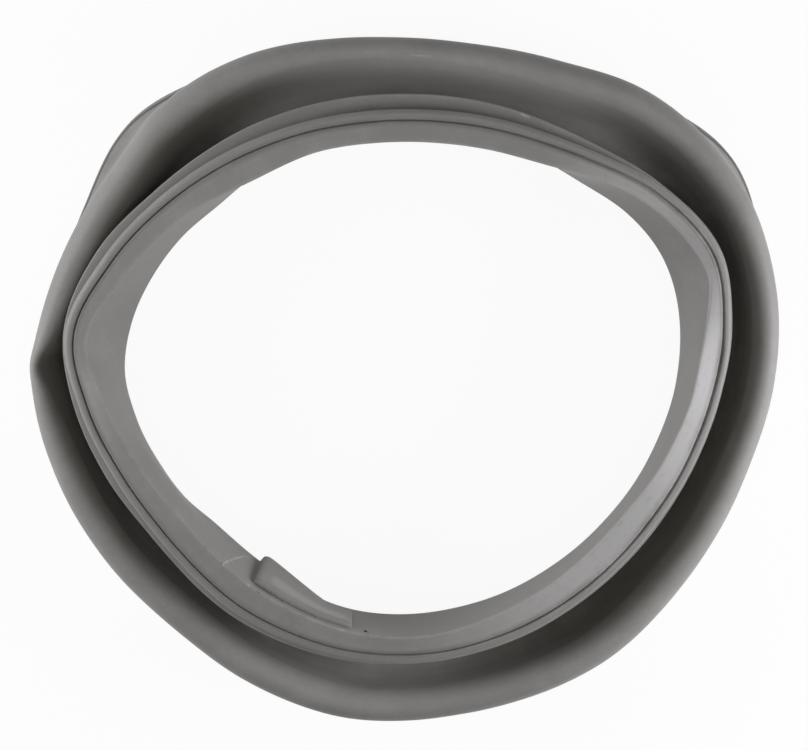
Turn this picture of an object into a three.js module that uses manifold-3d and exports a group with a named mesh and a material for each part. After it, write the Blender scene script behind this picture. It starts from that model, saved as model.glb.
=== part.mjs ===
// Washing machine door seal: one moulded rubber bellows, lying on its tub ring with the front ring up.
// Millimetres, +Z towards the front of the machine, +Y towards the top of the door.
import * as THREE from 'three';
import { mergeVertices } from 'three/addons/utils/BufferGeometryUtils.js';
import Module from 'manifold-3d';

// Front ring: two lips with the panel groove between them, a bead, a fine groove and a flat face
const lipRadius = 171.4;
const lipStandoff = 14;
const neckInset = 7.4;
const rearLipReach = 4;
const rearLipDrop = 8.3;
const rearLipThickness = 2.2;
const rearLipRounding = 0.6;
const rearLipFillet = 3.3;
const panelGrooveDepth = 5.5;
const panelGrooveWidth = 4;
const beadBend = 3.2;
const beadTurn = THREE.MathUtils.degToRad(75);
const fineGrooveInset = 5.2;
const fineGrooveWidth = 1.2;
const fineGrooveDepth = 1.6;
const faceStep = 0.4;
const faceWidth = 16.6;
const creaseRise = 5;

// Throat: the inner wall that the door glass presses on, which tapers back from the crease
const throatTaper = 4.6;
const throatDepth = 37;
const throatThickness = 2.6;
const junctionDrop = 9;

// Bellows: the thin wall that runs up the outside, over the roll, down the channel and up the neck
const wallThickness = 2.6;
const rollOverhang = 36.1;
const rollHeight = 61;
const rollBend = 10;
const channelDepth = 37;
const channelTaper = 4.5;
const channelRoundness = 0.3;
const channelRoundWidth = 9;
const channelWallReach = 0.85;
const channelFloorReach = 0.6;
const outerWallEase = 0.33;

// Tub ring: the thick rear ring that is clamped round the rim of the tub
const tubRingInset = 1.5;
const tubRingWidth = 13;
const tubRingHeight = 16;
const shoulderWidth = 1.5;
const clampGrooveWidth = 6;
const clampGrooveDepth = 2;
const clampGrooveBevel = 0.5;
const rimSlotWidth = 3.5;
const rimSlotDepth = 9;
const rimSlotInset = 5.5;

// Lug: the wedge pad on the lower left of the throat, between two angles in degrees
const lugStart = 232.5;
const lugEnd = 258;
const lugFrontDrop = 5;
const lugFrontRise = 4.3;
const lugEndRise = 3.2;
const lugRearRise = 6.8;
const lugRearBevel = 1;
const lugFlushShare = 0.75;
const lugRounding = 2.2;
const lugEndRounding = 3;
const lugEndFullness = 0.55;

// Pinhole left by the mould beside the lug
const pinholeAngle = 261.5;
const pinholeDiameter = 2.4;
const pinholeDepth = 3.6;
const pinholeDrop = 5;

// How finely the seal is faceted
const segments = 80;
const beadSteps = 4;
const rollSteps = 6;
const channelWallSteps = 4;
const channelSteps = 2;
const outerWallSteps = 3;
const lugSteps = 9;
const pinholeSides = 10;

// The seal's main places, as moulded
const lipHeight = rollHeight + lipStandoff;
const creaseRadius = lipRadius - faceWidth;
const creaseHeight = lipHeight + creaseRise;
const throatRadius = creaseRadius - throatTaper;
const throatHeight = creaseHeight - throatDepth;
const rollRadius = lipRadius + rollOverhang;
const tubRingRadius = rollRadius - tubRingInset;

// How the soft seal has settled out of round: each row is an angle in degrees and what happens there,
// and each change of a length in it counts settlingStep
const settlingStep = 1;
// Tub ring: change of radius
const tubSettling = [
  [0, 3], [17, 13], [34, 22.6], [48, 9], [64, -5], [90, -13.5], [110, -8], [124, 2], [137, 10.6],
  [152, 4.5], [172, 2.5], [195, -1], [230, -7], [270, -5.5], [310, -4], [342, 0],
];
// Roll: change of radius, of height and of bend
const rollSettling = [
  [0, 4.5, 0, 0], [15, 12.6, 0, 0], [32, 17, 0, 0], [50, 11.8, -1, 0], [65, -0.4, -2, -1],
  [82, -7, -3, -2.5], [100, -4.1, -3, -2.5], [116, 3.2, -2, -1], [131, 4.6, -1, 0], [141, 0.6, 0, 0],
  [150, 0.6, 0, 0], [164, 3.6, 0, -1], [176, 7, -1, -6], [187, 4, 0, -1.5], [210, -4.7, 0, 0],
  [226, -8.9, 0, 0.5], [242, -7, 0, 0.5], [260, -4, 0, 0], [280, -6.5, 0, 0], [305, -4.2, 0, 0.5],
  [325, -5.8, 0, 0], [345, -2.9, 0, 0],
];
// Channel: share of its depth that it keeps, and how far its outer wall leans inwards in degrees
const channelSettling = [
  [0, 1.05, 0], [30, 1, 10], [60, 0.62, 38], [90, 0.42, 55], [118, 0.6, 40], [140, 0.9, 20], [160, 1, 5],
  [200, 1.05, 0], [240, 1, 0], [270, 0.73, 0], [300, 0.95, 0], [330, 1.05, 0],
];
// Lips: change of radius, of height and of the rear lip's reach
const lipSettling = [
  [0, 7.4, 0, -2], [12, 17, -1, -2.4], [25, 24.8, -2, -3.2], [40, 16, -1, -3.6], [53, 4, 0, -1],
  [70, -4.3, 0, 2.2], [90, -7.7, 0, 3.6], [116, -3.6, 0, 3], [140, 6.6, 0, 0], [155, 15.4, -1, 0.8],
  [169, 23.6, -2, -2.5], [181, 14, -1, 0], [195, 1.2, 0, 1.8], [210, -7.6, 0, 0.6], [235, -10.8, 0, 1.2],
  [270, -13, 0, -0.4], [305, -13.9, 0, -0.8], [330, -9.4, 0, -1], [346, -1.8, 0, -1.6],
];
// Crease: change of radius and of height
const creaseSettling = [
  [0, 7, 4], [9, 14, 3], [16, 22.8, -1], [22, 30, -4], [28, 28.6, -7], [42, 17.8, -3], [58, 1, 0],
  [72, -5.8, 0], [90, -9, 0], [108, -6.8, 0], [124, -4.6, 0], [142, 8, -1], [158, 19, -3],
  [170, 27.5, -4], [180, 15.2, 1], [192, 3, 0], [208, -9.4, 0], [235, -14.2, 0], [270, -13.8, 0],
  [305, -17.4, 0], [330, -13, 0], [346, -3.8, 3],
];
// Throat: change of its rear edge's radius, and how far its middle bulges inwards
const throatSettling = [
  [0, 6.6, 0], [25, 15.2, 0], [38, 11.5, 0], [50, 4.4, 0], [66, 2, 0], [90, 1, 0], [120, -0.6, 0],
  [134, -1.4, 0], [146, 3, 0], [176, 11, 0], [187, 6.4, 1], [198, -0.3, 3.5], [207, -5.3, 3],
  [217, -12, 1], [229, -14.6, 0], [258, -10.6, 0], [290, -11.8, 0], [320, -8.6, 0], [345, -0.4, 0],
];

// Reads a settling list as a smooth closed curve and returns its values at an angle, in steps of a size
function settlingCurve(list, size) {
  const turn = 360;
  const overlap = 3;
  const before = list.slice(-overlap).map(([angle, ...values]) => [angle - turn, ...values]);
  const after = list.slice(0, overlap).map(([angle, ...values]) => [angle + turn, ...values]);
  const rows = [...before, ...list, ...after];
  const width = list[0].length - 1;
  const curve = new THREE.CubicInterpolant(
    rows.map((row) => row[0]),
    rows.flatMap((row) => row.slice(1)),
    width,
    new Array(width),
  );
  return (angle) => Array.from(curve.evaluate(angle), (value) => value * size);
}

const tubSettled = settlingCurve(tubSettling, settlingStep);
const rollSettled = settlingCurve(rollSettling, settlingStep);
const channelSettled = settlingCurve(channelSettling, 1);
const lipSettled = settlingCurve(lipSettling, settlingStep);
const creaseSettled = settlingCurve(creaseSettling, settlingStep);
const throatSettled = settlingCurve(throatSettling, settlingStep);

// The line beside a path, at a distance to its left, or to its right where the distance is negative
function beside(path, distance) {
  return path.map((point, i) => {
    const ahead = path[Math.min(i + 1, path.length - 1)];
    const behind = path[Math.max(i - 1, 0)];
    const along = ahead.clone().sub(behind).normalize();
    return new THREE.Vector2(-along.y, along.x).multiplyScalar(distance).add(point);
  });
}

// Middle line of the bellows wall, from the top of the tub ring to the foot of the front ring
function bellowsLine(angle) {
  const [tubShift] = tubSettled(angle);
  const [rollShift, rollLift, bendChange] = rollSettled(angle);
  const [depthKept, leanDegrees] = channelSettled(angle);
  const [lipShift, lipLift] = lipSettled(angle);
  const half = wallThickness / 2;
  const crest = rollHeight + rollLift;
  const lean = THREE.MathUtils.degToRad(leanDegrees);

  const bend = rollBend + bendChange;
  const roll = new THREE.EllipseCurve(
    rollRadius + rollShift - bend, crest - bend, bend - half, bend - half, 0, Math.PI - lean,
  ).getPoints(rollSteps);

  const foot = new THREE.Vector2(tubRingRadius + tubShift - shoulderWidth - half, tubRingHeight);
  const ease = outerWallEase * (roll[0].y - foot.y);
  const outerWall = new THREE.CubicBezierCurve(
    foot,
    new THREE.Vector2(foot.x, foot.y + ease),
    new THREE.Vector2(roll[0].x, roll[0].y - ease),
    roll[0],
  ).getPoints(outerWallSteps);

  const depth = channelDepth * depthKept;
  const floor = crest - depth - half;
  const mouth = roll[rollSteps];
  const neckRadius = lipRadius + lipShift - neckInset - half;
  const gap = mouth.x - channelTaper * depthKept - neckRadius;
  const roundWidth = Math.min(gap / 2, channelRoundWidth);
  const roundHeight = channelRoundness * depth;
  const bottom = new THREE.Vector2(neckRadius + roundWidth, floor);
  const wallReach = channelWallReach * (mouth.y - floor);
  const channelWall = new THREE.CubicBezierCurve(
    mouth,
    new THREE.Vector2(mouth.x - Math.sin(lean) * wallReach, mouth.y - Math.cos(lean) * wallReach),
    new THREE.Vector2(THREE.MathUtils.lerp(bottom.x, mouth.x, channelFloorReach), floor),
    bottom,
  ).getPoints(channelWallSteps);
  const channel = new THREE.EllipseCurve(
    bottom.x, floor + roundHeight, roundWidth, roundHeight, -Math.PI / 2, -Math.PI, true,
  ).getPoints(channelSteps);

  const lipRoot = lipHeight + lipLift - rearLipDrop - rearLipFillet;
  const neckMiddle = new THREE.Vector2(neckRadius, (channel[channelSteps].y + lipRoot) / 2);
  return [...outerWall.slice(0, -1), ...roll, ...channelWall.slice(1), ...channel.slice(1), neckMiddle];
}

function creasePoint(angle) {
  const [shift, lift] = creaseSettled(angle);
  return new THREE.Vector2(creaseRadius + shift, creaseHeight + lift);
}

// Outline of the front ring from the neck to the crease, its lips and grooves included
function frontRing(angle) {
  const [shift, lift, reachChange] = lipSettled(angle);
  const at = (outwards, upwards) => new THREE.Vector2(
    lipRadius + shift + outwards,
    lipHeight + lift + upwards,
  );
  const reach = rearLipReach + reachChange;
  const rearLipTop = -rearLipDrop + rearLipThickness / 2;
  const rearLipBottom = -rearLipDrop - rearLipThickness / 2;
  const beadCentre = at(-beadBend, 0);
  const bead = new THREE.EllipseCurve(
    beadCentre.x, beadCentre.y, beadBend, beadBend, -beadTurn, beadTurn,
  ).getPoints(beadSteps);
  return [
    at(-neckInset, -rearLipDrop - rearLipFillet),
    at(reach - rearLipRounding, rearLipBottom),
    at(reach, -rearLipDrop),
    at(reach - rearLipRounding, rearLipTop),
    at(-panelGrooveDepth, rearLipTop),
    at(-panelGrooveDepth, rearLipTop + panelGrooveWidth),
    ...bead,
    at(-fineGrooveInset, beadBend),
    at(-fineGrooveInset - fineGrooveWidth / 2, beadBend - fineGrooveDepth),
    at(-fineGrooveInset - fineGrooveWidth, beadBend + faceStep),
    creasePoint(angle),
  ];
}

// Inner face of the throat, from the crease back to its rear edge
function throatLine(angle) {
  const [shift, bulge] = throatSettled(angle);
  const crease = creasePoint(angle);
  const edge = new THREE.Vector2(throatRadius + shift, throatHeight);
  const middle = crease.clone().lerp(edge, 0.5);
  middle.x -= bulge;
  return [crease, middle, edge];
}

// Point at a height on the throat's inner face, moved inwards by a rise
function throatPoint(angle, height, rise) {
  const [crease, middle, edge] = throatLine(angle);
  const [upper, lower] = height > middle.y ? [crease, middle] : [middle, edge];
  const share = (upper.y - height) / (upper.y - lower.y);
  return new THREE.Vector2(THREE.MathUtils.lerp(upper.x, lower.x, share) - rise, height);
}

// Whole outline of the seal's section at an angle, anticlockwise with the axis on the left
function sealSection(angle) {
  const [tubShift] = tubSettled(angle);
  const [, lipLift] = lipSettled(angle);
  const at = (radius, height) => new THREE.Vector2(radius, height);
  const outside = tubRingRadius + tubShift;
  const inside = outside - tubRingWidth;
  const slotOutside = outside - rimSlotInset;
  const slotInside = slotOutside - rimSlotWidth;
  const grooveBottom = (tubRingHeight - clampGrooveWidth) / 2;
  const grooveTop = grooveBottom + clampGrooveWidth;
  const grooveFace = outside - clampGrooveDepth;

  const middleLine = bellowsLine(angle);
  const outerFace = beside(middleLine, -wallThickness / 2);
  const innerFace = beside(middleLine, wallThickness / 2).reverse();
  const throatFace = throatLine(angle);
  const throatBack = beside(throatFace, throatThickness).slice(1).reverse();
  const junction = throatPoint(angle, lipHeight + lipLift - junctionDrop, -throatThickness);
  junction.x = (junction.x + innerFace[0].x) / 2;

  return [
    at(outside, 0),
    at(outside, grooveBottom),
    at(grooveFace, grooveBottom + clampGrooveBevel),
    at(grooveFace, grooveTop - clampGrooveBevel),
    at(outside, grooveTop),
    at(outside, tubRingHeight),
    ...outerFace,
    ...frontRing(angle),
    ...throatFace.slice(1),
    ...throatBack,
    junction,
    ...innerFace,
    at(inside, tubRingHeight),
    at(inside, 0),
    at(slotInside, 0),
    at(slotInside, rimSlotDepth),
    at(slotOutside, rimSlotDepth),
    at(slotOutside, 0),
  ];
}

// A closed body through section outlines that stand at the given angles round the axis.
// It closes on itself where it goes all the way round, and has flat ends where it doesn't.
function loft(sections, angles, goesRound) {
  const around = sections[0].length;
  const positions = [];
  sections.forEach((section, i) => {
    const angle = THREE.MathUtils.degToRad(angles[i]);
    section.forEach((point) => positions.push(point.x * Math.cos(angle), point.x * Math.sin(angle), point.y));
  });
  const faces = [];
  const strips = goesRound ? sections.length : sections.length - 1;
  for (let i = 0; i < strips; i += 1) {
    const here = i * around;
    const next = ((i + 1) % sections.length) * around;
    for (let j = 0; j < around; j += 1) {
      const k = (j + 1) % around;
      faces.push(here + j, next + j, here + k);
      faces.push(here + k, next + j, next + k);
    }
  }
  if (!goesRound) {
    const end = strips * around;
    for (let j = 1; j < around - 1; j += 1) {
      faces.push(0, j, j + 1);
      faces.push(end, end + j + 1, end + j);
    }
  }
  const geometry = new THREE.BufferGeometry();
  geometry.setAttribute('position', new THREE.Float32BufferAttribute(positions, 3));
  geometry.setIndex(faces);
  return geometry;
}

// The bellows, rings and throat as one body
function sealBody() {
  const angles = Array.from({ length: segments }, (_, i) => (360 * i) / segments);
  return loft(angles.map(sealSection), angles, true);
}

// The lug, rooted in the throat wall: a wedge that is tallest at its start and runs out flush behind
function lugBody() {
  const angles = [];
  const sections = [];
  const cornerShare = 1 - Math.SQRT1_2;
  for (let step = 0; step <= lugSteps; step += 1) {
    const share = (1 - Math.cos((Math.PI * step) / lugSteps)) / 2;
    const angle = THREE.MathUtils.lerp(lugStart, lugEnd, share);
    const fromEnd = THREE.MathUtils.degToRad(Math.min(angle - lugStart, lugEnd - angle)) * throatRadius;
    const beforeFull = Math.max(1 - fromEnd / lugEndRounding, 0);
    const fullness = THREE.MathUtils.lerp(lugEndFullness, 1, Math.sqrt(1 - beforeFull ** 2));
    const frontRise = fullness * THREE.MathUtils.lerp(lugFrontRise, lugEndRise, share);
    const rearRise = fullness * lugRearRise * Math.max(1 - share / lugFlushShare, 0);
    const rounding = Math.min(lugRounding, frontRise);
    const front = creasePoint(angle).y - lugFrontDrop;
    const root = -throatThickness / 2;
    angles.push(angle);
    sections.push([
      throatPoint(angle, throatHeight, root),
      throatPoint(angle, front, root),
      throatPoint(angle, front, frontRise - rounding),
      throatPoint(angle, front - cornerShare * rounding, frontRise - cornerShare * rounding),
      throatPoint(angle, front - rounding, frontRise),
      throatPoint(angle, throatHeight + lugRearBevel, rearRise),
      throatPoint(angle, throatHeight, Math.max(rearRise - lugRearBevel, 0)),
    ]);
  }
  return loft(sections, angles, false);
}

// The pin that leaves the pinhole, standing half out of the throat's face
function pinholePin() {
  const height = creasePoint(pinholeAngle).y - pinholeDrop;
  const face = throatPoint(pinholeAngle, height, 0).x;
  const radius = pinholeDiameter / 2;
  const pin = new THREE.CylinderGeometry(radius, radius, 2 * pinholeDepth, pinholeSides);
  pin.rotateZ(Math.PI / 2);
  pin.translate(face, 0, height);
  pin.rotateZ(THREE.MathUtils.degToRad(pinholeAngle));
  return pin;
}

const wasm = await Module();
wasm.setup();

function toSolid(geometry) {
  const bare = geometry.clone();
  bare.deleteAttribute('normal');
  bare.deleteAttribute('uv');
  const merged = mergeVertices(bare);
  return new wasm.Manifold(new wasm.Mesh({
    numProp: 3,
    vertProperties: new Float32Array(merged.attributes.position.array),
    triVerts: new Uint32Array(merged.index.array),
  }));
}

function toGeometry(solid) {
  const mesh = solid.getMesh();
  const geometry = new THREE.BufferGeometry();
  geometry.setAttribute('position', new THREE.BufferAttribute(new Float32Array(mesh.vertProperties), 3));
  geometry.setIndex(new THREE.BufferAttribute(new Uint32Array(mesh.triVerts), 1));
  return geometry;
}

// Stands the geometry on the origin by the middle of its outline
function centred(geometry) {
  geometry.computeBoundingBox();
  const middle = geometry.boundingBox.getCenter(new THREE.Vector3());
  return geometry.translate(-middle.x, -middle.y, -geometry.boundingBox.min.z);
}

const rubber = new THREE.MeshStandardMaterial({ color: 0x82827f, roughness: 0.62, metalness: 0 });

const seal = toSolid(sealBody()).add(toSolid(lugBody())).subtract(toSolid(pinholePin()));
const doorSeal = new THREE.Mesh(centred(toGeometry(seal)), rubber);
doorSeal.name = 'door_seal';

const part = new THREE.Group();
part.add(doorSeal);

export default part;
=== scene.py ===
"""Washing machine door seal: one moulded rubber bellows that has settled out of round on its tub ring."""
import math

import bmesh
import bpy
from bpy.props import FloatProperty, FloatVectorProperty, IntProperty, PointerProperty
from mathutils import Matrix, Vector, noise


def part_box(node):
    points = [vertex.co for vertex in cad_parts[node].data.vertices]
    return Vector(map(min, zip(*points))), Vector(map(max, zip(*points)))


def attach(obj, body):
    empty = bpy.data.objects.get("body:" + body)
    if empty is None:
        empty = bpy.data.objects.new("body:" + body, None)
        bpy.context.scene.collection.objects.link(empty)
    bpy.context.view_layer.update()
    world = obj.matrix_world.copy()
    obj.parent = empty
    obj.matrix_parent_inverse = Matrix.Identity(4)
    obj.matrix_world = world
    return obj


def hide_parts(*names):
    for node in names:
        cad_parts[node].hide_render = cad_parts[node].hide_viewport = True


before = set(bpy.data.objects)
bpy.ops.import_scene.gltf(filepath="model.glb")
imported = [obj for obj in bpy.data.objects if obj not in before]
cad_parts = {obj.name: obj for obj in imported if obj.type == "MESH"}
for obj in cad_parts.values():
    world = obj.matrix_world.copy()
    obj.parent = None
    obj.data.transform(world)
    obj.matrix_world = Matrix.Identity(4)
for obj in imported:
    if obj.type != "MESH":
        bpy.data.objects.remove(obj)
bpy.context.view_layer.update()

bl_info = {
    "name": "Washing machine door seal",
    "version": (1, 0, 0),
    "blender": (4, 5, 0),
    "location": "View3D > Sidebar > Door seal",
    "description": "Models a moulded rubber door seal with its finish, and the studio round it",
    "category": "Object",
}

NODE = "door_seal"
MM = 0.001
FULL_TURN = 360

# Front ring, in metres
LIP_STANDOFF = 14 * MM
NECK_INSET = 7.4 * MM
REAR_LIP_REACH = 4 * MM
REAR_LIP_DROP = 8.3 * MM
REAR_LIP_THICKNESS = 2.2 * MM
REAR_LIP_FILLET = 3.3 * MM
PANEL_GROOVE_DEPTH = 5.5 * MM
PANEL_GROOVE_WIDTH = 4 * MM
BEAD_TURN = math.radians(75)
FINE_GROOVE_INSET = 5.2 * MM
FINE_GROOVE_WIDTH = 1.2 * MM
FINE_GROOVE_DEPTH = 1.6 * MM
FACE_STEP = 0.4 * MM
CREASE_RISE = 5 * MM

# Throat
THROAT_TAPER = 4.6 * MM
THROAT_THICKNESS = 2.6 * MM
JUNCTION_DROP = 9 * MM
RIDGE_SOFTNESS = 0.12

# Bellows
ROLL_OVERHANG = 36.1 * MM
CHANNEL_TAPER = 4.5 * MM
CHANNEL_ROUNDNESS = 0.3
CHANNEL_ROUND_WIDTH = 9 * MM
CHANNEL_WALL_REACH = 0.85
CHANNEL_FLOOR_REACH = 0.6
OUTER_WALL_EASE = 0.33

# How uneven the soft rubber is: none at the top of the tub ring, all of it from a height upwards.
# The shift along X, Y and Z is read from one noise at three places far apart.
WAVE_HEIGHT = 0.4 * MM
WAVE_LENGTH = 38 * MM
WAVE_FULL_HEIGHT = 40 * MM
WAVE_PLACES = (Vector((0, 0, 0)), Vector((31.4, 7.2, 2.9)), Vector((5.3, 47.1, 19.8)))

# Tub ring
TUB_RING_INSET = 1.5 * MM
SHOULDER_WIDTH = 1.5 * MM
CLAMP_GROOVE_WIDTH = 6 * MM
CLAMP_GROOVE_DEPTH = 2 * MM
CLAMP_GROOVE_BEVEL = 0.5 * MM
RIM_SLOT_WIDTH = 3.5 * MM
RIM_SLOT_DEPTH = 9 * MM
RIM_SLOT_INSET = 5.5 * MM

# Lug, between two angles in degrees
LUG_START = 231.6
LUG_END = 257.4
LUG_FRONT_DROP = 5 * MM
LUG_FRONT_RISE = 4.3 * MM
LUG_END_RISE = 3.2 * MM
LUG_REAR_RISE = 5.7 * MM
LUG_FLUSH_SHARE = 0.72
LUG_ROUNDING = 1.9 * MM
LUG_END_ROUNDING = 5 * MM
LUG_END_FULLNESS = 0.55
LUG_END_WALL = 0.1 * MM
LUG_FACE_SHARE = 0.4
LUG_ROUNDING_SHARE = 0.6
LUG_LEAD_SHARES = (0.4, 0.6, 0.8, 1)
# Where there is no lug, the rows that round it lie spread over this much of the throat
FLAT_SPREAD = 4 * LUG_ROUNDING
# Sections stand close at each end of the lug, at these distances in from it
LUG_END_COLUMNS = (
    -0.8 * MM, -LUG_END_WALL, -0.9 * LUG_END_WALL, -0.1 * LUG_END_WALL, 0,
    0.2 * MM, 0.6 * MM, 1.2 * MM, 2 * MM, 3 * MM,
)

# Pinhole beside the lug
PINHOLE_ANGLE = 260.9
PINHOLE_RADIUS = 1.5 * MM
PINHOLE_DEPTH = 3.6 * MM
PINHOLE_GRID = 1.3 * MM
PINHOLE_DROP = 5 * MM

# How many points each stretch of the section has
EASE_STEPS = 3
OUTER_WALL_STEPS = 10
ROLL_STEPS = 20
CHANNEL_WALL_STEPS = 14
CHANNEL_STEPS = 8
BEAD_STEPS = 12
FACE_STEPS = 4
LUG_FRONT_STEPS = 8
LUG_TOP_STEPS = 10
THROAT_BACK_STEPS = 5
INNER_FACE_STRIDE = 3

# How the soft seal has settled: each row is an angle in degrees and what happens there, lengths in mm.
# Tub ring: change of radius
TUB_SETTLING = [
    (0, 3), (17, 13), (34, 22.6), (48, 9), (64, -5), (90, -13.5), (110, -8), (124, 2), (137, 10.6),
    (152, 4.5), (172, 2.5), (195, -1), (230, -7), (270, -5.5), (310, -4), (342, 0),
]
# Roll: change of radius, of height and of bend
ROLL_SETTLING = [
    (0, 4.5, 0, -2), (15, 12.6, 0, -2), (32, 17, 0, -2), (50, 11.8, -1, -1), (65, -0.4, -2, -1),
    (82, -7, -3, -2.5), (100, -4.1, -3, -2.5), (116, 3.2, -2, -1), (131, 4.6, -1, 0), (141, 0.6, 0, 0),
    (150, 0.6, 0, 0), (164, 3.1, 0, -1), (172, 5.2, 0, -4), (176, 7, -1, -6.8), (180, 5.8, 0, -4.5),
    (188, 3.4, 0, -1.5), (210, -4.7, 0, 0), (226, -8.9, 0, 0.5), (242, -7, 0, 0.5), (260, -4, 0, 0),
    (280, -6.5, 0, 0), (305, -4.2, 0, 0.5), (325, -5.8, 0, 0), (345, -2.9, 0, -1),
]
# Channel: share of its depth that it keeps, and how far its outer wall leans inwards in degrees
CHANNEL_SETTLING = [
    (0, 1.05, 0), (30, 1, 10), (60, 0.62, 38), (90, 0.42, 55), (118, 0.6, 40), (140, 0.9, 20),
    (160, 1, 5), (170, 1, 12), (176, 1, 24), (182, 1, 12), (200, 1.05, 0), (240, 1, 0),
    (270, 0.73, 0), (300, 0.95, 0), (330, 1.05, 0),
]
# Lips: change of radius, of height and of the rear lip's reach
LIP_SETTLING = [
    (0, 7.4, 0, -2), (12, 17, -1, -2.4), (25, 24.8, -2, -3.2), (40, 16, -1, -3.6), (53, 4, 0, -1),
    (70, -4.3, 0, 2.2), (90, -7.7, 0, 3.6), (116, -3.6, 0, 3), (140, 6.6, 0, 0), (155, 15.4, -1, 0.8),
    (169, 23.6, -2, -2.5), (181, 14, -1, 0), (195, 1.2, 0, 1.8), (210, -7.6, 0, 0.6),
    (235, -10.8, 0, 1.2), (270, -13, 0, -0.4), (305, -13.9, 0, -0.8), (330, -9.4, 0, -1),
    (346, -1.8, 0, -1.6),
]
# Crease: change of radius and of height
CREASE_SETTLING = [
    (0, 7, 4), (9, 14, 3), (16, 22.8, -1), (22, 30, -4), (28, 28.6, -7), (42, 17.8, -3), (58, 1, 0),
    (72, -5.8, 0), (90, -9, 0), (108, -6.8, 0), (124, -4.6, 0), (142, 8, -1), (158, 19, -3),
    (170, 27.5, -4), (180, 15.2, 1), (192, 3, 0), (208, -9.4, 0), (235, -14.2, 0), (270, -13.8, 0),
    (305, -17.4, 0), (330, -13, 0), (346, -3.8, 3),
]
# Fine groove: change of its inset and of its width
GROOVE_SETTLING = [
    (0, -1.5, 1.3), (35, -1.5, 0.9), (70, -0.2, 0), (120, 0, 0), (180, -0.5, 0.2), (250, 0, 0),
    (290, 0, 0.1), (325, -1.1, 1),
]
# Throat: change of its rear edge's radius, and how far its middle bulges inwards
THROAT_SETTLING = [
    (0, 6.6, 0), (25, 15.2, 0), (38, 11.5, 0), (50, 4.4, 0), (66, 2, 0), (90, 1, 0), (118, -0.9, 0),
    (127, -2, 0), (135, -1.5, 0), (146, 3, 0), (176, 11, 0), (187, 6.4, 1), (198, -0.3, 3.5), (207, -5.3, 3),
    (217, -12, 1), (229, -14.6, 0), (258, -10.6, 0), (290, -11.8, 0), (320, -8.6, 0), (345, -0.4, 0),
]

# Finish and painted light: the scale that runs along the seal, and for each zone of the section how pale its
# rims are, from wear and painted highlight, and how dark it is, from soiling and painted shade. In the deep
# zones the soiling and painted shade come in with the depth below the roll.
FLOW_RADIUS = 170 * MM
SHARP_ANGLE = math.radians(32)
DEEP_ZONES = ("outer_wall", "channel_wall", "channel", "neck")
ZONE_WEAR_GRIME_AND_PAINTED_LIGHT = {
    "outer_wall": (0, 1),
    "roll": (0, 0),
    "channel_wall": (0, 1),
    "channel": (0, 1),
    "neck": (0, 1),
    "rear_lip": (0.75, 0),
    "panel_groove": (0, 1),
    "bead": (0.6, 0.1),
    "fine_groove": (0, 0.7),
    "face": (0, 0),
    "crease": (1, 0),
    "throat": (0, 0.1),
    "throat_edge": (0.8, 0),
    "inside": (0, 0.5),
    "tub_ring": (0.1, 0.3),
    "clamp_groove": (0, 0.7),
    "rim_slot": (0, 0.8),
}
# Painted highlight on the face, strongest on the right: an angle in degrees and the share of it
FACE_PALENESS = [
    (0, 1), (20, 1), (40, 0.7), (62, 0), (120, 0), (180, 0), (230, 0), (272, 0), (295, 0.6), (320, 1),
    (340, 1),
]
# Zones that take the painted highlight on the face
FACE_ZONES = ("fine_groove", "face", "crease")
PALE = (0.46, 0.455, 0.43)
BROWN = (0.16, 0.13, 0.09)
BLACK = (0.02, 0.02, 0.02)
# Sizes of the patterns in the rubber
MOTTLE_SIZE = 28 * MM
FINE_MOTTLE_SIZE = 5 * MM
STREAK_WIDTH = 1.6 * MM
BROAD_STREAK_WIDTH = 7 * MM
STREAK_STRETCH = (0.06, 0.06, 1)
BUMP_HEIGHT = 0.12 * MM
RAGGED_SIZE = 0.9 * MM
RAGGEDNESS = 2.4 * MM
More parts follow.
